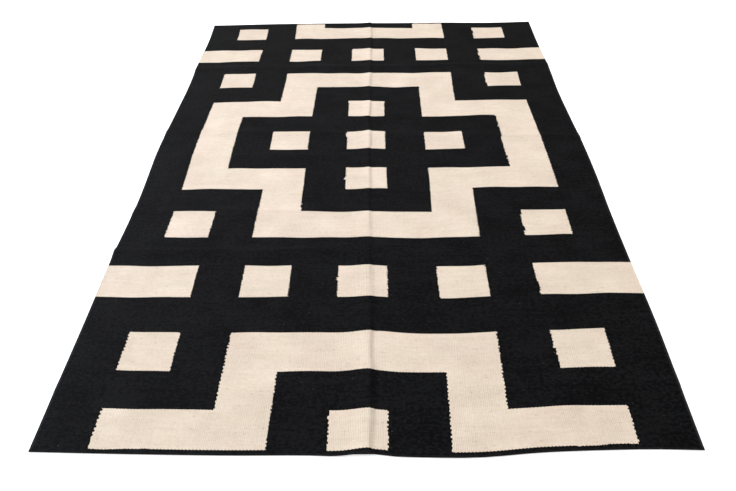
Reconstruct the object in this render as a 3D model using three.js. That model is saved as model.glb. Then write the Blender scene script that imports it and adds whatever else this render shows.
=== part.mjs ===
// A flat-woven kilim rug lying on a floor: one thin wool cloth with woven-in ends and plain selvedges.
// Millimetres, +Z up. The width runs along X, the length along Y, and the underside rests on Z = 0.
// Storage folds lift the whole cloth, so both of its faces follow them.
import * as THREE from "three";

// Driving dimensions
const width = 1600;
const length = 2800;
const thickness = 3;

// The sheet is laid out on a grid of lines this far apart, with closer lines across each fold
const columnStep = 110;
const rowStep = 80;
const foldLines = [-1, -0.75, -0.5, -0.25, 0, 0.25, 0.5, 0.75, 1];

// How far each edge stands out from a true rectangle, at places along that edge
const leftSelvedge = [
  { at: -1400, out: -1 },
  { at: -1270, out: -2.4 },
  { at: -900, out: 0 },
  { at: -610, out: 4.6 },
  { at: -280, out: -2.3 },
  { at: 100, out: 6.1 },
  { at: 400, out: 0 },
  { at: 680, out: -6.8 },
  { at: 900, out: -3.2 },
  { at: 1180, out: -7.7 },
  { at: 1400, out: -1.5 },
];
const rightSelvedge = [
  { at: -1400, out: -7 },
  { at: -1200, out: -1.6 },
  { at: -940, out: 4.6 },
  { at: -640, out: 1.5 },
  { at: -370, out: 2.1 },
  { at: -130, out: 7.5 },
  { at: 100, out: 7.5 },
  { at: 350, out: 0 },
  { at: 580, out: -6.6 },
  { at: 840, out: -4.4 },
  { at: 1120, out: -11.2 },
  { at: 1400, out: -12.5 },
];
const frontEnd = [
  { at: -800, out: -10.5 },
  { at: -600, out: -3 },
  { at: -320, out: 4.6 },
  { at: -40, out: 6 },
  { at: 130, out: 12.5 },
  { at: 270, out: 13.8 },
  { at: 420, out: 0 },
  { at: 560, out: -7 },
  { at: 680, out: -9.1 },
  { at: 800, out: -5.5 },
];
const backEnd = [
  { at: -800, out: -2.5 },
  { at: -700, out: -5 },
  { at: -560, out: 4 },
  { at: -400, out: 8.6 },
  { at: -200, out: 8 },
  { at: 30, out: 6 },
  { at: 130, out: 0.5 },
  { at: 370, out: 1.5 },
  { at: 560, out: -5.6 },
  { at: 660, out: -5.2 },
  { at: 800, out: 0.5 },
];

// The fold down the middle: a long rise from the left and a short right flank, at its widest
const middleFold = { leftFoot: 62, rightFoot: 22 };
// Along the length: its height, how far its crest strays to the right, and its width as a share of the widest
const middleFoldCourse = [
  { at: -1400, height: 5.6, stray: 9, share: 1 },
  { at: -1250, height: 6, stray: 9, share: 1 },
  { at: -1040, height: 5.6, stray: 3, share: 1 },
  { at: -730, height: 3.2, stray: 2, share: 1 },
  { at: -440, height: 3, stray: -4, share: 0.85 },
  { at: -140, height: 3.2, stray: -7, share: 0.66 },
  { at: 160, height: 4, stray: -3, share: 0.62 },
  { at: 700, height: 3.6, stray: -6, share: 0.65 },
  { at: 1170, height: 3.6, stray: -5, share: 0.65 },
  { at: 1400, height: 3.8, stray: -5, share: 0.7 },
];

// The folds across: where each crest lies, its height, the widths of its front and back flanks, how far it
// reaches from the left, and how far its crest runs back for each step to the right
const crossFolds = [
  { crest: -1181, height: 1.6, front: 42, back: 36, to: 800, lean: 0.01 },
  { crest: -577, height: 7, front: 50, back: 25, to: 60, lean: 0 },
  { crest: -342, height: 3, front: 38, back: 31, to: 60, lean: 0.01 },
  { crest: 42, height: 1.2, front: 44, back: 40, to: -120, lean: 0.01 },
  { crest: 203, height: 3.2, front: 40, back: 36, to: 800, lean: -0.04 },
  { crest: 856, height: 3.4, front: 38, back: 31, to: 800, lean: 0.01 },
];
// A fold that stops short of the right selvedge dies away over this length
const foldFade = 260;

// A smooth curve through one column of a table
function courseOf(rows, column) {
  const places = rows.map((row) => row.at);
  const values = rows.map((row) => row[column]);
  const curve = new THREE.CubicInterpolant(places, values, 1);
  return (at) => curve.evaluate(at)[0];
}

const leftOut = courseOf(leftSelvedge, "out");
const rightOut = courseOf(rightSelvedge, "out");
const frontOut = courseOf(frontEnd, "out");
const backOut = courseOf(backEnd, "out");
const middleHeight = courseOf(middleFoldCourse, "height");
const middleStray = courseOf(middleFoldCourse, "stray");
const middleShare = courseOf(middleFoldCourse, "share");

// Grid lines from low to high: evenly spaced between folds, and one at each share of a fold's foot
function gridLines(low, high, step, folds) {
  const lines = [];
  let start = low;
  for (const fold of folds) {
    const first = fold.crest - fold.before;
    const count = Math.max(1, Math.round((first - start) / step));
    for (let i = 0; i < count; i++) lines.push(start + ((first - start) * i) / count);
    for (const share of foldLines.slice(0, -1)) {
      lines.push(fold.crest + share * (share < 0 ? fold.before : fold.after));
    }
    start = fold.crest + fold.after;
  }
  const count = Math.round((high - start) / step);
  for (let i = 0; i <= count; i++) lines.push(start + ((high - start) * i) / count);
  return lines;
}

// Share of a fold's height at a distance from its crest: rounded on top and easing out to its foot
function ridge(distance, before, after) {
  const reach = Math.abs(distance) / (distance < 0 ? before : after);
  return reach < 1 ? (1 + Math.cos(Math.PI * reach)) / 2 : 0;
}

// How strongly a cross fold shows at x
function reachOf(fold, x) {
  const reachesRight = fold.to >= width / 2;
  return reachesRight ? 1 : 1 - THREE.MathUtils.smoothstep(x, fold.to - foldFade, fold.to);
}

// Height of the underside over the floor at a place on the even grid
function lift(x, y) {
  let height = middleHeight(y) * ridge(x / middleShare(y), middleFold.leftFoot, middleFold.rightFoot);
  for (const fold of crossFolds) {
    const fromCrest = y - fold.crest - fold.lean * x;
    height += fold.height * reachOf(fold, x) * ridge(fromCrest, fold.front, fold.back);
  }
  return height;
}

// Where a place on the even grid really lies, with the uneven edges and the straying middle fold
function plan(x, y) {
  const across = x / width + 0.5;
  const along = y / length + 0.5;
  const stray = middleStray(y) * (1 - Math.abs(2 * across - 1));
  return {
    x: x + stray - leftOut(y) * (1 - across) + rightOut(y) * across,
    y: y - frontOut(x) * (1 - along) + backOut(x) * along,
  };
}

// One face of the cloth as a grid of points, a height above the underside, row after row from the front
function layerPoints(columns, rows, height) {
  const points = [];
  for (const y of rows) {
    for (const x of columns) {
      const place = plan(x, y);
      points.push(place.x, place.y, lift(x, y) + height);
    }
  }
  return points;
}

// The rim's points on the upper face, anticlockwise as seen from above: front, right, back, left
function rimOf(across, deep) {
  const lastColumn = across - 1;
  const lastRow = (deep - 1) * across;
  const rim = [];
  for (let i = 0; i < lastColumn; i++) rim.push(i);
  for (let j = 0; j < deep - 1; j++) rim.push(j * across + lastColumn);
  for (let i = lastColumn; i > 0; i--) rim.push(lastRow + i);
  for (let j = deep - 1; j > 0; j--) rim.push(j * across);
  return rim;
}

// Faces of a closed sheet whose upper grid of points comes first and whose lower grid follows it
function sheetFaces(across, deep) {
  const lower = across * deep;
  const faces = [];

  // A four-sided patch as two triangles, its corners given anticlockwise as seen from outside
  const patch = (a, b, c, d) => faces.push(a, b, c, a, c, d);

  for (let j = 0; j < deep - 1; j++) {
    for (let i = 0; i < across - 1; i++) {
      const near = j * across + i;
      const far = near + across;
      patch(near, near + 1, far + 1, far);
      patch(lower + near, lower + far, lower + far + 1, lower + near + 1);
    }
  }

  const rim = rimOf(across, deep);
  rim.forEach((here, k) => {
    const next = rim[(k + 1) % rim.length];
    patch(lower + here, lower + next, next, here);
  });
  return faces;
}

function clothGeometry() {
  const middle = { crest: 0, before: middleFold.leftFoot, after: middleFold.rightFoot };
  const across = crossFolds.map((fold) => {
    const sway = (Math.abs(fold.lean) * width) / 2;
    return { crest: fold.crest, before: fold.front + sway, after: fold.back + sway };
  });
  const columns = gridLines(-width / 2, width / 2, columnStep, [middle]);
  const rows = gridLines(-length / 2, length / 2, rowStep, across);
  const points = [...layerPoints(columns, rows, thickness), ...layerPoints(columns, rows, 0)];

  const geometry = new THREE.BufferGeometry();
  geometry.setAttribute("position", new THREE.Float32BufferAttribute(points, 3));
  geometry.setIndex(sheetFaces(columns.length, rows.length));

  // The uneven outline is centred over the origin
  geometry.computeBoundingBox();
  const centre = geometry.boundingBox.getCenter(new THREE.Vector3());
  geometry.translate(-centre.x, -centre.y, 0);
  geometry.computeVertexNormals();
  return geometry;
}

const blackWool = new THREE.MeshStandardMaterial({ color: 0x1c1c1d, roughness: 0.92, metalness: 0 });

const kilim = new THREE.Mesh(clothGeometry(), blackWool);
kilim.name = "kilim";

const rug = new THREE.Group();
rug.add(kilim);

export default rug;
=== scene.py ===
import math

import bpy
import numpy as np
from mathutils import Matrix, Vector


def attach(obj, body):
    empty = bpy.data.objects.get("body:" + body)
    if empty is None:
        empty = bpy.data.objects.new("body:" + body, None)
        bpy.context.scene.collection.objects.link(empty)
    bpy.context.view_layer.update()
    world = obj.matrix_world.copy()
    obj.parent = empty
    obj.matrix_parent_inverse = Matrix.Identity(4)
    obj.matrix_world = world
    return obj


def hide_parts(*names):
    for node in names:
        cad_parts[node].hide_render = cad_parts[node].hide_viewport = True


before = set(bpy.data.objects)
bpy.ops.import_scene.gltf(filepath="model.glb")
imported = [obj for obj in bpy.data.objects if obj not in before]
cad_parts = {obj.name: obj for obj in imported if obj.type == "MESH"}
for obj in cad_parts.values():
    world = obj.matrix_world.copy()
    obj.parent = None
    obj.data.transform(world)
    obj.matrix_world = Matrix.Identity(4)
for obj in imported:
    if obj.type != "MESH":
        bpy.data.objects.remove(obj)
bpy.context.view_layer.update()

print("frame loaded, nodes:", sorted(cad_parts))

# the cloth as it was woven, in metres
cloth = {
    "width": 1.600,
    "length": 2.800,
    "thickness": 0.003,
    "ribs": 372,  # warps across, one rib each
    "ribRise": 0.00045,  # crest of a rib over the groove beside it
    "selvedgeRibs": (1.9, 1.4),  # the outermost warps are doubled: how much higher their ribs are
    "rowStep": 0.034,  # lengthwise spacing of the mesh between folds, and over them
    "foldStep": 0.0105,
    "foldShare": 0.9,  # share of a fold's flanks that has the closer spacing
    "undersideStep": 24,  # the underside keeps one column in this many
    "rimBulge": 0.0010,  # how far the selvedges and ends swell half way down
    "hemRise": 0.0006,  # both ends are turned under, so they lie a little higher,
    "hemSlope": (0.0077, 0.0132),  # and the face comes down between these distances from the end
    "edgeRise": 0.100,  # swells and waves in the weave start at the edge and are whole this far in
}
ribPitch = cloth["width"] / cloth["ribs"]

# how far each edge stands out from a true rectangle, at places along it
edges = {
    "left": {
        "at": [-1.400, -1.270, -0.900, -0.610, -0.280, 0.100, 0.400, 0.680, 0.900, 1.180, 1.400],
        "out": [-0.0028, -0.0020, -0.0010, 0.0014, -0.0037, 0.0060,
                -0.0004, -0.0060, -0.0026, -0.0074, -0.0015],
    },
    "right": {
        "at": [-1.400, -1.200, -0.940, -0.640, -0.370, -0.130, 0.100, 0.350, 0.580, 0.840, 1.120, 1.400],
        "out": [-0.0085, -0.0040, 0.0014, 0.0002, 0.0012, 0.0057,
                0.0049, -0.0030, -0.0080, -0.0055, -0.0120, -0.0130],
    },
    "front": {
        "at": [-0.800, -0.600, -0.320, -0.130, -0.064, -0.016, 0.030, 0.078,
               0.130, 0.270, 0.420, 0.560, 0.680, 0.800],
        "out": [-0.0088, -0.0020, 0.0046, 0.0054, 0.0080, 0.0043, 0.0035, 0.0100,
                0.0124, 0.0135, -0.0008, -0.0070, -0.0092, -0.0058],
    },
    "back": {
        "at": [-0.800, -0.700, -0.560, -0.400, -0.200, 0.030, 0.130, 0.370, 0.560, 0.660, 0.800],
        "out": [-0.0005, 0.0010, 0.0070, 0.0086, 0.0080, 0.0040, 0.0005, -0.0010, -0.0110, -0.0100, -0.0035],
    },
}

# the fold down the middle: its height, how far its crest strays to the right, and how wide its section is
middleFold = {
    "at": [-1.400, -1.250, -1.040, -0.730, -0.440, -0.140, 0.160, 0.700, 1.170, 1.400],
    "height": [0.0056, 0.0060, 0.0056, 0.0032, 0.0027, 0.0028, 0.0036, 0.0034, 0.0035, 0.0038],
    "stray": [0.009, 0.009, 0.003, 0.002, -0.004, -0.007, -0.003, -0.006, -0.005, -0.005],
    "width": [1.0, 1.0, 1.0, 1.05, 0.85, 0.66, 0.62, 0.65, 0.65, 0.70],
}
# its crest isn't straight, and its height changes a little from place to place
crestWaves = [
    {"across": 1, "along": 0.157, "turn": 2.9, "height": 0.0012},
    {"across": 1, "along": 0.337, "turn": 4.4, "height": 0.0016},
]
crestShareWaves = [
    {"across": 1, "along": 0.117, "turn": 1.2, "height": 0.10},
    {"across": 1, "along": 0.271, "turn": 3.7, "height": 0.12},
]
# its section: a long gentle rise from the left, a blunt crest and a short steep right flank
middleFoldSection = {
    "at": [-0.095, -0.070, -0.045, -0.025, -0.010, 0, 0.004, 0.007, 0.010, 0.014, 0.020, 0.027],
    "share": [0, 0.10, 0.28, 0.60, 0.91, 1, 0.95, 0.78, 0.54, 0.27, 0.08, 0],
}

# the folds across, each from the left selvedge to "to": the widths of their front and back flanks,
# and how far the crest runs back for each metre to the right
crossFolds = [
    {"crest": -1.181, "height": 0.0016, "front": 0.046, "back": 0.040, "to": 0.800, "lean": 0.010},
    {"crest": -0.582, "height": 0.0074, "front": 0.052, "back": 0.027, "to": 0.060, "lean": 0},
    {"crest": -0.342, "height": 0.0030, "front": 0.042, "back": 0.034, "to": 0.060, "lean": 0.010},
    {"crest": 0.042, "height": 0.0012, "front": 0.050, "back": 0.046, "to": -0.120, "lean": 0.010},
    {"crest": 0.203, "height": 0.0032, "front": 0.044, "back": 0.040, "to": 0.800, "lean": -0.040},
    {"crest": 0.856, "height": 0.0034, "front": 0.042, "back": 0.034, "to": 0.800, "lean": 0.010},
]
crossFoldSection = {"roundness": 0.004, "hollow": 1.25}  # a hollow of 1 makes the flanks straight
crossCrestWaves = [
    {"across": 0.190, "along": 0.37, "turn": 0.2, "height": 0.0015},
    {"across": 0.530, "along": 0.29, "turn": 3.3, "height": 0.0025},
]
foldFade = 0.260  # a fold that stops short dies away over this length

# low swells where the cloth lies a little off the floor: lengths of wave across and along, and height
swells = [
    {"across": 0.41, "along": 1.30, "turn": 0.4, "height": 0.00035},
    {"across": -0.73, "along": 0.52, "turn": 2.1, "height": 0.00040},
    {"across": 0.29, "along": 0.37, "turn": 4.4, "height": 0.00022},
]
swellLevel = 0.0004  # raises all of them, and what still comes out below 0 lies flat

# waves in the wefts, which bend every crosswise line of the design, stronger towards the back
weftWaves = [
    {"across": 0.93, "along": 1.10, "turn": 1.1, "height": 0.0016},
    {"across": 0.33, "along": -0.57, "turn": 3.0, "height": 0.0013},
    {"across": -0.19, "along": 0.43, "turn": 5.2, "height": 0.0009},
    {"across": 0.127, "along": 0.71, "turn": 0.7, "height": 0.0005},
]
weftWaveShare = {"at": [-1.400, -0.500, 0.500, 1.400], "share": [0.7, 0.9, 1.5, 1.8]}

# waves in the warps, which make the ribs a little unequal, and shares by which the ribs stand higher or lower
warpWaves = [
    {"across": 0.0131, "along": 0.83, "turn": 0.3, "height": 0.00028},
    {"across": -0.0237, "along": 0.61, "turn": 1.9, "height": 0.00042},
    {"across": 0.061, "along": 1.70, "turn": 4.0, "height": 0.0008},
]
ribWaves = [
    {"across": 0.0117, "along": 0.47, "turn": 2.2, "height": 0.22},
    {"across": 0.043, "along": -0.31, "turn": 0.9, "height": 0.22},
    {"across": 0.210, "along": 0.39, "turn": 5.0, "height": 0.30},
]


# a smooth curve through one column of a table
def course(table, column, where):
    at, values = np.array(table["at"]), np.array(table[column], float)
    slopes = np.diff(values) / np.diff(at)
    tangents = np.concatenate([slopes[:1], (slopes[:-1] + slopes[1:]) / 2, slopes[-1:]])
    k = np.clip(np.searchsorted(at, where) - 1, 0, len(at) - 2)
    step = at[k + 1] - at[k]
    t = np.clip((where - at[k]) / step, 0, 1)
    start, end = values[k], values[k + 1]
    leave, arrive = tangents[k] * step, tangents[k + 1] * step
    return (
        (2 * t**3 - 3 * t**2 + 1) * start
        + (t**3 - 2 * t**2 + t) * leave
        + (3 * t**2 - 2 * t**3) * end
        + (t**3 - t**2) * arrive
    )


# nothing on the rug's edges, rising to 1 a little way in
def edgeFade(x, y):
    fromEdge = np.minimum(cloth["width"] / 2 - np.abs(x), cloth["length"] / 2 - np.abs(y))
    return np.clip(fromEdge / cloth["edgeRise"], 0, 1)


def smoothStep(x, low, high):
    t = np.clip((x - low) / (high - low), 0, 1)
    return t * t * (3 - 2 * t)


# share of a cross fold's height: a blunt crest with hollow flanks that ease out to the feet
def ridge(distance, front, back):
    blunt = crossFoldSection["roundness"]
    away = np.sqrt(distance**2 + blunt**2) - blunt
    return (1 - np.clip(away / np.where(distance < 0, front, back), 0, 1)) ** crossFoldSection["hollow"]


def waves(rows, x, y):
    total = np.zeros(np.broadcast(x, y).shape)
    for row in rows:
        total += row["height"] * np.sin(2 * math.pi * (x / row["across"] + y / row["along"]) + row["turn"])
    return total


# height of the underside over the floor
def lift(x, y):
    fromCrest = x - course(middleFold, "stray", y) - waves(crestWaves, 0, y)
    height = course(middleFoldSection, "share", fromCrest / course(middleFold, "width", y))
    height = height * course(middleFold, "height", y) * (1 + waves(crestShareWaves, 0, y))
    for fold in crossFolds:
        reach = 1.0
        if fold["to"] < cloth["width"] / 2:
            reach = 1 - smoothStep(x, fold["to"] - foldFade, fold["to"])
        crest = fold["crest"] + fold["lean"] * x + waves(crossCrestWaves, x, fold["crest"])
        height = height + fold["height"] * reach * ridge(y - crest, fold["front"], fold["back"])
    swell = np.clip(waves(swells, x, y) + swellLevel, 0, None)
    return height + swell * edgeFade(x, y)


# where a place of the even weave lies on the floor, before the outline is centred
def unevenPlan(x, y):
    across, along = x / cloth["width"] + 0.5, y / cloth["length"] + 0.5
    px = x - course(edges["left"], "out", y) * (1 - across) + course(edges["right"], "out", y) * across
    py = y - course(edges["front"], "out", x) * (1 - along) + course(edges["back"], "out", x) * along
    inside = edgeFade(x, y)
    weftWave = waves(weftWaves, x, y) * course(weftWaveShare, "share", y)
    return px + waves(warpWaves, x, y) * inside, py + weftWave * inside


def outlineCentre():
    shares = np.linspace(-0.5, 0.5, 401)  # close enough together to find each edge's outermost place
    xs, ys = shares * cloth["width"], shares * cloth["length"]
    sides = [unevenPlan(x, ys)[0] for x in (xs[0], xs[-1])]
    ends = [unevenPlan(xs, y)[1] for y in (ys[0], ys[-1])]
    return (sides[0].min() + sides[1].max()) / 2, (ends[0].min() + ends[1].max()) / 2


centreX, centreY = outlineCentre()


def plan(x, y):
    px, py = unevenPlan(x, y)
    return px - centreX, py - centreY


# mesh rows: even ones between the folds, and closer ones over each fold and each hem
def rowPlaces():
    half = cloth["length"] / 2
    hemTop, hemFoot = cloth["hemSlope"]
    places = [-half, -half + hemTop]
    start = -half + hemFoot
    for fold in crossFolds:
        sway = abs(fold["lean"]) * cloth["width"] / 2
        first = fold["crest"] - cloth["foldShare"] * fold["front"] - sway
        end = fold["crest"] + cloth["foldShare"] * fold["back"] + sway
        for low, high, step in ((start, first, cloth["rowStep"]), (first, end, cloth["foldStep"])):
            places += list(np.linspace(low, high, max(1, round((high - low) / step)), endpoint=False))
        start = end
    last = half - hemFoot
    count = round((last - start) / cloth["rowStep"])
    return np.array([*places, *np.linspace(start, last, count + 1), half - hemTop, half])


# mesh columns: a groove and a crest for each rib, with their height over the grooves
def columnPlaces():
    places = np.arange(2 * cloth["ribs"] + 1) * ribPitch / 2 - cloth["width"] / 2
    rises = np.tile([0.0, 1.0], cloth["ribs"])
    for k, share in enumerate(cloth["selvedgeRibs"]):
        rises[2 * k + 1] *= share
        rises[-1 - 2 * k] *= share
    return places, np.append(rises, 0) * cloth["ribRise"]


# points of one grid, row after row, with their places in the weave
def gridPoints(xs, ys, height=0.0, rises=0.0):
    x, y = np.meshgrid(xs, ys)
    px, py = plan(x, y)
    pz = lift(x, y) + height + rises * (1 + waves(ribWaves, x, y))
    return np.stack([px, py, pz], -1), np.stack([x, y], -1)


# how much higher the upper face lies over the turned hems
def hemLift(ys):
    fromEnd = cloth["length"] / 2 - np.abs(ys)
    return cloth["hemRise"] * (1 - smoothStep(fromEnd, *cloth["hemSlope"]))


# the rim half way between both faces, swelling outwards
def rimPoints(top, bottom, out):
    middle = (top + bottom) / 2
    middle[..., :2] += np.array(out) * cloth["rimBulge"]
    return middle


def strip(a, b):
    return np.stack([a[:-1], a[1:], b[1:], b[:-1]], -1).reshape(-1, 4).tolist()


# a closed sheet: the ribbed upper face, a plain underside, and rounded selvedges and ends
def buildCloth():
    xs, rises = columnPlaces()
    ys = rowPlaces()
    crown = cloth["thickness"] - cloth["ribRise"]
    under = np.unique(np.append(np.arange(0, len(xs), cloth["undersideStep"]), len(xs) - 1))

    upper, upperWeave = gridPoints(xs, ys, crown + hemLift(ys)[:, None], rises)
    lower, lowerWeave = gridPoints(xs[under], ys)
    foot = gridPoints(xs, ys)[0]
    layers = [
        (upper, upperWeave),
        (lower, lowerWeave),
        (rimPoints(upper[:, 0], foot[:, 0], (-1, 0)), upperWeave[:, 0]),
        (rimPoints(upper[:, -1], foot[:, -1], (1, 0)), upperWeave[:, -1]),
        (rimPoints(upper[0], foot[0], (0, -1)), upperWeave[0]),
        (rimPoints(upper[-1], foot[-1], (0, 1)), upperWeave[-1]),
    ]
    starts = np.cumsum([0] + [points.size // 3 for points, weave in layers])
    points = np.concatenate([points.reshape(-1, 3) for points, weave in layers])
    weave = np.concatenate([weave.reshape(-1, 2) for points, weave in layers])

    wide, deep, narrow = len(xs), len(ys), len(under)
    top = np.arange(wide * deep).reshape(deep, wide)
    low = starts[1] + np.arange(narrow * deep).reshape(deep, narrow)
    leftRim, rightRim = starts[2] + np.arange(deep), starts[3] + np.arange(deep)
    frontRim, backRim = starts[4] + np.arange(wide), starts[5] + np.arange(wide)
    # the rims share their corner points
    frontRim[0], frontRim[-1] = leftRim[0], rightRim[0]
    backRim[0], backRim[-1] = leftRim[-1], rightRim[-1]

    groups = {"upper": [], "under": [], "left": [], "right": [], "front": [], "back": []}
    for j in range(deep - 1):
        groups["upper"] += strip(top[j], top[j + 1])
        groups["under"] += strip(low[j + 1], low[j])
    groups["left"] = strip(leftRim, top[:, 0]) + strip(low[:, 0], leftRim)
    groups["right"] = strip(top[:, -1], rightRim) + strip(rightRim, low[:, -1])
    groups["front"] = strip(frontRim, top[0])
    groups["back"] = strip(top[-1], backRim)
    for k in range(narrow - 1):
        span = slice(under[k], under[k + 1] + 1)
        groups["front"].append([low[0, k], low[0, k + 1]] + frontRim[span][::-1].tolist())
        groups["back"].append([low[-1, k + 1], low[-1, k]] + backRim[span].tolist())

    mesh = bpy.data.meshes.new("kilimCloth")
    mesh.from_pydata(points.tolist(), [], sum(groups.values(), []))
    mesh.polygons.foreach_set("use_smooth", np.ones(len(mesh.polygons), bool))
    addWeavePlaces(mesh, weave)
    depth = np.full(len(points), 0.5)
    depth[:starts[1]], depth[starts[1]:starts[2]] = 0, 1
    addBakeMap(mesh, groups, weave, depth)
    mesh.update()
    return mesh


# where each group of faces lies on the square that its finish is baked to: from u to u,
# and which way of the rug runs up it
bakeMap = {
    "upper": {"u": (0.005, 0.600), "run": "across"},
    "under": {"u": (0.995, 0.645), "run": "across"},
    "left": {"u": (0.607, 0.611), "run": "along"},
    "right": {"u": (0.616, 0.620), "run": "along"},
    "front": {"u": (0.625, 0.629), "run": "ends"},
    "back": {"u": (0.634, 0.638), "run": "ends"},
}
bakeMargin = 0.005  # kept free above and below


# each point comes with its place in the weave and its depth, from 0 on the upper face to 1 on the underside
def addBakeMap(mesh, groups, weave, depth):
    across = weave[:, 0] / cloth["width"] + 0.5
    along = weave[:, 1] / cloth["length"] + 0.5
    ways = {"across": (across, along), "along": (depth, along), "ends": (depth, across)}
    uv = []
    for name, faces in groups.items():
        start, end = bakeMap[name]["u"]
        corners = np.concatenate(faces).astype(int)
        flat, up = ways[bakeMap[name]["run"]]
        height = bakeMargin + (1 - 2 * bakeMargin) * up[corners]
        uv.append(np.stack([start + (end - start) * flat[corners], height], -1))
    layer = mesh.uv_layers.new(name="OFBake")
    layer.data.foreach_set("uv", np.concatenate(uv).astype(np.float32).ravel())


# the design: a lattice of squares, some joined by bars into stepped diamonds, one below another.
# Places are in modules, one side of a square, from the middle of a diamond, the same on all four sides.
design = {
    "moduleAcross": 1.600 / 11,
    "moduleAlong": 2.800 / 19.59,
    "middle": 10.6,  # modules from the front end to the middle of the whole diamond
    "repeat": 12,  # modules from one diamond to the next
    "lastSquare": 5,  # beyond this many modules from the middle only bars are cream
    "bars": [
        {"across": (-1, 2.5), "along": (3.5, 4.5)},
        {"across": (1.5, 2.5), "along": (1.5, 4.5)},
        {"across": (1.5, 4.5), "along": (1.5, 2.5)},
        {"across": (3.5, 4.5), "along": (-1, 2.5)},
        {"across": (3.5, 7), "along": (5.5, 7)},
    ],
    "blackHem": (0.008, 0.017),  # both hems are woven black, at their narrowest and widest, in metres
    # the weaver's modules are not all alike: how far a line lies from its even place
    "driftAcross": {
        "at": [-0.800, -0.560, -0.290, -0.010, 0.230, 0.500, 0.800],
        "shift": [0, -0.009, -0.014, -0.017, -0.010, -0.006, 0],
    },
    "driftAlong": {
        "at": [-1.390, -1.160, -0.820, -0.140, 0.480, 0.900, 1.340, 1.400],
        "shift": [0, -0.021, 0.003, 0.038, 0.023, 0.022, 0, 0],
    },
}


# each point keeps its place on the threads: its rib, its way along the warps,
# and how many modules of the design it lies from the middle and from the front end
def addWeavePlaces(mesh, weave):
    x, y = weave[:, 0], weave[:, 1]
    fromFront = y + cloth["length"] / 2
    columns = {
        "thread": ((x / cloth["width"] + 0.5) * cloth["ribs"], fromFront),
        "module": (
            (x - course(design["driftAcross"], "shift", x)) / design["moduleAcross"],
            (fromFront - course(design["driftAlong"], "shift", y)) / design["moduleAlong"],
        ),
    }
    for name, (across, along) in columns.items():
        values = np.stack([across, along, across * 0], -1).astype(np.float32)
        mesh.attributes.new(name, "FLOAT_VECTOR", "POINT").data.foreach_set("vector", values.ravel())


# small helpers for node trees: numbers or sockets go in, a socket comes out
class Wiring:
    def __init__(self, tree):
        self.tree = tree

    def put(self, kind, inputs=(), **settings):
        node = self.tree.nodes.new(kind)
        for name, value in settings.items():
            setattr(node, name, value)
        for key, value in dict(inputs).items():
            self.feed(node.inputs[key], value)
        return node

    def feed(self, socket, value):
        if isinstance(value, bpy.types.NodeSocket):
            self.tree.links.new(value, socket)
        elif socket.type == "RGBA":
            socket.default_value = (*value, 1)
        else:
            socket.default_value = value

    def math(self, operation, a, b=0.0, c=0.0):
        return self.put("ShaderNodeMath", {0: a, 1: b, 2: c}, operation=operation).outputs[0]

    def times(self, a, b):
        return self.math("MULTIPLY", a, b)

    def plus(self, a, b):
        return self.math("ADD", a, b)

    def minus(self, a, b):
        return self.math("SUBTRACT", a, b)

    def scaledPlus(self, a, scale, b):
        return self.math("MULTIPLY_ADD", a, scale, b)

    def least(self, first, *others):
        for other in others:
            first = self.math("MINIMUM", first, other)
        return first

    # a place on a plane stretched by so many waves a metre across and along
    def place(self, across, along, perMetre, layer=0.0):
        inputs = {0: self.times(across, perMetre[0]), 1: self.times(along, perMetre[1]), 2: layer}
        return self.put("ShaderNodeCombineXYZ", inputs).outputs[0]

    # noise by one row of the grain table
    def noise(self, across, along, row):
        place = self.place(across, along, row["perMetre"], row["layer"])
        inputs = {"Vector": place, "Scale": 1.0, "Detail": row["detail"], "Roughness": row["roughness"]}
        return self.put("ShaderNodeTexNoise", inputs).outputs["Fac"]

    def ramp(self, value, low, high, start=0.0, end=1.0):
        inputs = {"Value": value, "From Min": low, "From Max": high, "To Min": start, "To Max": end}
        return self.put("ShaderNodeMapRange", inputs, clamp=True).outputs["Result"]

    def mix(self, share, a, b):
        node = self.put("ShaderNodeMix", {"Factor": share}, data_type="RGBA")
        for key, value in (("A", a), ("B", b)):
            self.feed(next(s for s in node.inputs if s.name == key and s.type == "RGBA"), value)
        return next(s for s in node.outputs if s.type == "RGBA")

    def attribute(self, name):
        vector = self.put("ShaderNodeAttribute", attribute_name=name).outputs["Vector"]
        return self.put("ShaderNodeSeparateXYZ", {0: vector}).outputs


# how far inside a cream part of the design a place lies, in modules, below 0 on black ground
def creamReach(wires, across, along):
    a = wires.math("ABSOLUTE", across)
    b = wires.math("PINGPONG", wires.minus(along, design["middle"]), design["repeat"] / 2)
    nearest = wires.math("MAXIMUM", wires.math("PINGPONG", a, 1), wires.math("PINGPONG", b, 1))
    reach = wires.least(wires.minus(0.5, nearest), wires.minus(design["lastSquare"], a))
    for bar in design["bars"]:
        inside = wires.least(
            wires.minus(a, bar["across"][0]),
            wires.minus(bar["across"][1], a),
            wires.minus(b, bar["along"][0]),
            wires.minus(bar["along"][1], b),
        )
        reach = wires.math("MAXIMUM", reach, inside)
    return reach


# the yarn and how it is beaten in: pitches in metres, relief in millimetres
yarn = {
    "beadPitch": 0.0023,  # one weft over one warp, and the next weft over the same warp
    "beadSlant": 0.35,
    "toothBeads": 3,  # two colours turn round one shared warp by turns, so many wefts at a time
    "toothDrift": 5,  # the turns come earlier or later by up to about so many wefts
    "toothDepth": 0.48,  # in ribs, as the next two are
    "toothUneven": 0.55,
    "wander": 1.3,  # how far a lengthwise colour change wanders
    "ribRelief": 0.25,
    "beadRelief": 0.32,
    "fuzzRelief": 0.22,
    # painted shade in the grooves beside each rib and between the beads, as shares of the colour
    "ribShade": 0.20,
    "beadShade": 0.20,
}

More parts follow.
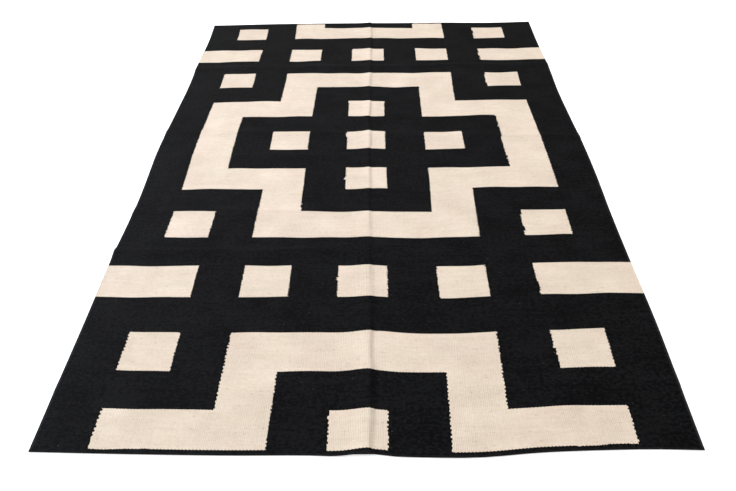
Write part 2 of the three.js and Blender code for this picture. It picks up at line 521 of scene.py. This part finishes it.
# noises in the wool: waves a metre across and along the rug, each on a layer of its own
grain = {
    "slow": {"perMetre": (6, 14), "layer": 0, "detail": 2, "roughness": 0.5},
    "loose": {"perMetre": (3, 30), "layer": 3, "detail": 2, "roughness": 0.5},
    "toothed": {"perMetre": (2, 5), "layer": 8, "detail": 2, "roughness": 0.5},
    "packed": {"perMetre": (8, 6), "layer": 2, "detail": 3, "roughness": 0.5},
    "fuzz": {"perMetre": (900, 900), "layer": 0, "detail": 3, "roughness": 0.5},
    "streak": {"perMetre": (5, 190), "layer": 0, "detail": 3, "roughness": 0.6},
    "slub": {"perMetre": (32, 240), "layer": 5, "detail": 3, "roughness": 0.6},
    "band": {"perMetre": (8, 55), "layer": 1, "detail": 2, "roughness": 0.5},
    "mottle": {"perMetre": (90, 110), "layer": 9, "detail": 4, "roughness": 0.7},
    "cloud": {"perMetre": (9, 9), "layer": 7, "detail": 4, "roughness": 0.65},
    "lot": {"perMetre": (5, 7), "layer": 4, "detail": 3, "roughness": 0.5},
    "slack": {"perMetre": (22, 200), "layer": 6, "detail": 2, "roughness": 0.5},
}

# what a noise brings about: from and to its value, and the shares at these two
effects = {
    "toothed": (0.32, 0.52, 0.4, 1),  # the teeth are shallow in some stretches
    # scales the painted shade in the grooves: less of it where they are packed shut
    "packed": (0.38, 0.60, 0.25, 1.4),  # the grooves between the ribs are packed shut in some patches
    "lot": (0.4, 0.6, 0, 1),  # wool of the second lot
    "slack": (0.60, 0.74, 0, 0.17),  # threads beaten in a little darker
    "paleEdge": (0.3, 0.7, 0.5, 1),  # the edges are paler at thick places in the yarn
}
noiseSpan = (0.3, 0.7)  # nearly all of a noise lies between these
streakWeight = 0.46  # weight of streaks, slubs and bands in the uneven dye, where mottle and clouds have 1

# scattered flecks: cells a metre, share of them left empty, size in cells, and how strong they are at most
hairs = {"perMetre": (45, 120), "empty": 0.80, "size": 0.20, "strength": 0.5}
neps = {"perMetre": (30, 40), "empty": 0.82, "size": 0.050, "strength": 1}
faintest = 0.2  # the weakest fleck, as a share of the strongest

# paler edges: ribs in from the selvedge, metres in from the end, and how strong the paling at the ends is
paleEdges = {"selvedge": (0.3, 1.8), "hem": (0.001, 0.006), "hemShare": 0.5}

# two natural wools in linear light; contrasts are shares of the colour
dyes = {
    "creamPale": (0.787, 0.674, 0.540),
    "creamDeep": (0.645, 0.524, 0.402),
    "creamRosy": (1.0, 0.972, 0.985),  # a second lot of the same wool, as shares of the first
    "creamFleck": (0.36, 0.27, 0.20),
    "creamContrast": 1.25,
    "creamMiddle": 0.6,  # share of the pale dye in even yarn
    "blackPale": (0.0069, 0.0069, 0.0072),
    "blackDeep": (0.0017, 0.0017, 0.0018),
    "blackPaleEdge": (0.034, 0.034, 0.035),
    "blackNep": (0.075, 0.072, 0.070),
    "blackContrast": 2.8,
    "blackMiddle": 0.5,
    "blackMottle": 1.6,  # mottled fibre shows more in the black
    "roughness": (0.58, 0.76),
    "gloss": 0.029,
    "glossTint": (0.95, 0.97, 1.08),
    "sheen": 0.003,
    "sheenRoughness": 0.5,
}


# scattered flecks: 1 inside the strongest of them
def flecks(wires, across, along, row):
    inputs = {"Vector": wires.place(across, along, row["perMetre"]), "Scale": 1.0, "Randomness": 1.0}
    cell = wires.put("ShaderNodeTexVoronoi", inputs, voronoi_dimensions="2D")
    chance = wires.put("ShaderNodeSeparateColor", {0: cell.outputs["Color"]}).outputs
    reach = wires.ramp(chance[0], row["empty"], 1, 0, row["size"])
    strength = wires.times(wires.ramp(chance[1], 0, 1, faintest, 1), row["strength"])
    return wires.times(wires.math("LESS_THAN", cell.outputs["Distance"], reach), strength)


# height of a round top, 1 in the middle, at a share of the way across it
def roundTop(wires, share):
    off = wires.scaledPlus(share, 2, -1)
    return wires.math("SQRT", wires.math("MAXIMUM", wires.scaledPlus(wires.times(off, off), -1, 1), 0))


def woolMaterial():
    material = bpy.data.materials.new("wovenWool")
    material.use_nodes = True
    material.node_tree.nodes.clear()
    wires = Wiring(material.node_tree)
    rib, along, _ = wires.attribute("thread")
    moduleAcross, moduleAlong, _ = wires.attribute("module")
    across = wires.times(rib, ribPitch)

    # one rib and one bead of weft: their numbers and how far across them a place lies
    ribNumber = wires.math("FLOOR", rib)
    ribShare = wires.minus(rib, ribNumber)
    halfStep = wires.times(wires.math("MODULO", ribNumber, 2), 0.5)
    beads = wires.scaledPlus(along, 1 / yarn["beadPitch"], halfStep)
    beadNumber = wires.math("FLOOR", beads)
    weft = wires.times(wires.minus(wires.plus(beadNumber, 0.5), halfStep), yarn["beadPitch"])

    # most noises go by the wefts, and those in the fibre go by the place itself
    def byWeft(name):
        return wires.noise(across, weft, grain[name])

    def byPlace(name):
        return wires.noise(across, along, grain[name])

    # lengthwise colour changes are dovetailed and wander by a warp or so, crosswise ones follow the wefts
    slow = byPlace("slow")
    turn = wires.times(wires.scaledPlus(byWeft("loose"), yarn["toothDrift"], beadNumber), 1 / yarn["toothBeads"])
    toothNumber = wires.math("FLOOR", turn)
    seam = wires.math("FLOOR", moduleAcross)
    chance = wires.put(
        "ShaderNodeTexWhiteNoise",
        {"Vector": wires.put("ShaderNodeCombineXYZ", {0: toothNumber, 1: seam}).outputs[0]},
        noise_dimensions="2D",
    ).outputs["Value"]
    tooth = wires.times(wires.minus(wires.math("MODULO", toothNumber, 2), 0.5), yarn["toothDepth"])
    tooth = wires.times(tooth, wires.ramp(byPlace("toothed"), *effects["toothed"]))
    tooth = wires.scaledPlus(wires.minus(chance, 0.5), yarn["toothUneven"], tooth)
    shared = wires.math("FLOOR", wires.plus(wires.plus(rib, tooth), 0.5))
    warp = wires.scaledPlus(wires.minus(slow, 0.5), yarn["wander"], shared)
    designAcross = wires.scaledPlus(wires.minus(warp, rib), ribPitch / design["moduleAcross"], moduleAcross)
    designAlong = wires.scaledPlus(wires.minus(weft, along), 1 / design["moduleAlong"], moduleAlong)
    inside = creamReach(wires, designAcross, designAlong)
    fromEnd = wires.least(weft, wires.minus(cloth["length"], weft))
    blackHem = wires.ramp(slow, *noiseSpan, *design["blackHem"])
    inside = wires.least(inside, wires.minus(fromEnd, blackHem))
    cream = wires.math("GREATER_THAN", inside, 0)

    # round ribs and round, slanted beads, and painted shade in the grooves between them
    slant = wires.scaledPlus(wires.minus(ribShare, 0.5), yarn["beadSlant"], beads)
    ribTop, beadTop = roundTop(wires, ribShare), roundTop(wires, wires.math("FRACT", slant))
    fuzz = byPlace("fuzz")
    relief = wires.scaledPlus(beadTop, yarn["beadRelief"], wires.times(ribTop, yarn["ribRelief"]))
    relief = wires.scaledPlus(fuzz, yarn["fuzzRelief"], relief)
    packed = wires.ramp(byPlace("packed"), *effects["packed"])
    ribGrooveShade = wires.times(wires.times(wires.minus(1, ribTop), yarn["ribShade"]), packed)
    beadGrooveShade = wires.times(wires.minus(1, beadTop), yarn["beadShade"])
    hollow = wires.times(wires.minus(1, ribGrooveShade), wires.minus(1, beadGrooveShade))

    # uneven yarn: streaks along the wefts, short slubs, bands beaten in harder, mottled fibre, and soft clouds
    slub, mottle = byWeft("slub"), byPlace("mottle")
    threads = wires.plus(wires.plus(byWeft("streak"), slub), byWeft("band"))
    uneven = wires.scaledPlus(threads, streakWeight, wires.plus(mottle, byPlace("cloud")))
    uneven = wires.minus(uneven, 1.5 * streakWeight + 1)  # 0 on average, as each noise is 0.5 on average

    share = wires.scaledPlus(uneven, dyes["creamContrast"], dyes["creamMiddle"])
    creamTone = wires.mix(share, dyes["creamDeep"], dyes["creamPale"])
    lot = wires.ramp(byPlace("lot"), *effects["lot"])
    rosy = wires.mix(lot, (1.0, 1.0, 1.0), dyes["creamRosy"])
    creamTone = wires.put("ShaderNodeVectorMath", {0: creamTone, 1: rosy}, operation="MULTIPLY").outputs[0]
    # threads beaten in a little darker here and there, and brownish hairs
    slack = wires.ramp(byWeft("slack"), *effects["slack"])
    creamTone = wires.mix(slack, creamTone, dyes["creamFleck"])
    creamTone = wires.mix(flecks(wires, across, weft, hairs), creamTone, dyes["creamFleck"])

    mottled = wires.scaledPlus(wires.minus(mottle, 0.5), dyes["blackMottle"], uneven)
    share = wires.scaledPlus(mottled, dyes["blackContrast"], dyes["blackMiddle"])
    blackTone = wires.mix(share, dyes["blackDeep"], dyes["blackPale"])
    blackTone = wires.mix(flecks(wires, across, along, neps), blackTone, dyes["blackNep"])
    # the black turns paler along the selvedges and hems
    fromSide = wires.least(rib, wires.minus(cloth["ribs"], rib))
    fromHem = wires.least(along, wires.minus(cloth["length"], along))
    paleEdge = wires.math(
        "MAXIMUM",
        wires.ramp(fromSide, *paleEdges["selvedge"], 1, 0),
        wires.ramp(fromHem, *paleEdges["hem"], paleEdges["hemShare"], 0),
    )
    paleEdge = wires.times(paleEdge, wires.ramp(slub, *effects["paleEdge"]))
    blackTone = wires.mix(paleEdge, blackTone, dyes["blackPaleEdge"])
    # the colour darkened by the painted shade in the grooves
    colour = wires.put("ShaderNodeVectorMath", {0: wires.mix(cream, blackTone, creamTone)}, operation="SCALE")
    wires.feed(colour.inputs["Scale"], hollow)

    # a distance of one millimetre, because the relief is in millimetres
    bump = wires.put("ShaderNodeBump", {"Height": relief, "Distance": 0.001, "Strength": 1.0})
    surface = wires.put("ShaderNodeBsdfPrincipled", {
        "Base Color": colour.outputs[0],
        "Roughness": wires.ramp(fuzz, *noiseSpan, *dyes["roughness"]),
        "Normal": bump.outputs[0],
        "Specular IOR Level": dyes["gloss"],
        "Specular Tint": dyes["glossTint"],
        "Sheen Weight": dyes["sheen"],
        "Sheen Roughness": dyes["sheenRoughness"],
    })
    wires.put("ShaderNodeOutputMaterial", {"Surface": surface.outputs[0]})
    return material


def addObject(name, data):
    thing = bpy.data.objects.new(name, data)
    bpy.context.scene.collection.objects.link(thing)
    return thing


kilimCloth = addObject("kilimCloth", buildCloth())
kilimCloth.data.materials.append(woolMaterial())
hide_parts("kilim")
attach(kilimCloth, "root")
triangles = sum(len(face.vertices) - 2 for face in kilimCloth.data.polygons)
print("cloth woven:", len(kilimCloth.data.vertices), "points,", triangles, "triangles")

# a plain pale floor just under the cloth
ground = {
    "side": 30.0,
    "gap": 0.0006,
    "colour": (0.94, 0.94, 0.94),
    "roughness": 0.8,
    "gloss": 0.1,
    "glow": 0.65,
}


def buildFloor():
    half = ground["side"] / 2
    corners = [(-half, -half), (half, -half), (half, half), (-half, half)]
    mesh = bpy.data.meshes.new("floor")
    mesh.from_pydata([(x, y, -ground["gap"]) for x, y in corners], [], [(0, 1, 2, 3)])
    material = bpy.data.materials.new("paleFloor")
    material.use_nodes = True
    surface = material.node_tree.nodes["Principled BSDF"]
    surface.inputs["Base Color"].default_value = (*ground["colour"], 1)
    surface.inputs["Roughness"].default_value = ground["roughness"]
    surface.inputs["Specular IOR Level"].default_value = ground["gloss"]
    surface.inputs["Emission Color"].default_value = (*ground["colour"], 1)
    surface.inputs["Emission Strength"].default_value = ground["glow"]
    mesh.materials.append(material)
    addObject("floor", mesh)


# wide soft daylight from the back left, a lamp screen over the rug, a cool window at its left,
# and an even pale room, which the camera sees brighter than it lights the rug
lights = {
    "skylight": {
        "towards": (0.66, -0.60, -0.60),
        "angle": 30,
        "strength": 3.5,
        "colour": (1.0, 0.995, 0.985),
    },
    "screen": {
        "at": (-0.30, 0.85, 2.9),
        "towards": (-0.30, 0.85, 0),
        "size": (1.8, 1.8),
        "watts": 31,
        "colour": (0.92, 0.99, 1.20),
    },
    "window": {
        "at": (-2.6, -0.5, 1.5),
        "towards": (0, -0.6, 0),
        "size": (2.4, 1.4),
        "watts": 31,
        "colour": (0.70, 0.87, 1.17),
    },
    "room": {"colour": (1.0, 0.985, 0.94), "strength": 0.40, "seen": 1.07},
}


def aimed(direction):
    return Vector(direction).to_track_quat("-Z", "Y").to_euler()


def lightRoom():
    row = lights["skylight"]
    sun = bpy.data.lights.new("skylight", "SUN")
    sun.energy, sun.angle, sun.color = row["strength"], math.radians(row["angle"]), row["colour"]
    addObject("skylight", sun).rotation_euler = aimed(row["towards"])

    for name in ("screen", "window"):
        row = lights[name]
        pane = bpy.data.lights.new(name, "AREA")
        pane.shape, pane.energy, pane.color = "RECTANGLE", row["watts"], row["colour"]
        pane.size, pane.size_y = row["size"]
        holder = addObject(name, pane)
        holder.location = row["at"]
        holder.rotation_euler = aimed(Vector(row["towards"]) - Vector(row["at"]))

    row = lights["room"]
    world = bpy.data.worlds.new("room")
    world.use_nodes = True
    world.node_tree.nodes.clear()
    wires = Wiring(world.node_tree)
    seen = wires.put("ShaderNodeLightPath").outputs["Is Camera Ray"]
    strength = wires.ramp(seen, 0, 1, row["strength"], row["seen"])
    sky = wires.put("ShaderNodeBackground", {"Color": row["colour"], "Strength": strength})
    wires.put("ShaderNodeOutputWorld", {"Surface": sky.outputs[0]})
    bpy.context.scene.world = world
    bpy.context.scene.view_settings.view_transform = "Standard"


# the eye stands in front of the near end and looks down the rug
eye = {"at": (0.047, -2.742, 1.537), "turn": (54.994, 0.995, 0.573), "lens": 41.42, "sensor": 36.0}


def placeCamera():
    camera = bpy.data.cameras.new("camera")
    camera.lens, camera.sensor_width = eye["lens"], eye["sensor"]
    holder = addObject("camera", camera)
    holder.location = eye["at"]
    holder.rotation_euler = [math.radians(angle) for angle in eye["turn"]]
    bpy.context.scene.camera = holder


buildFloor()
lightRoom()
placeCamera()
print("floor, lights and camera in place")
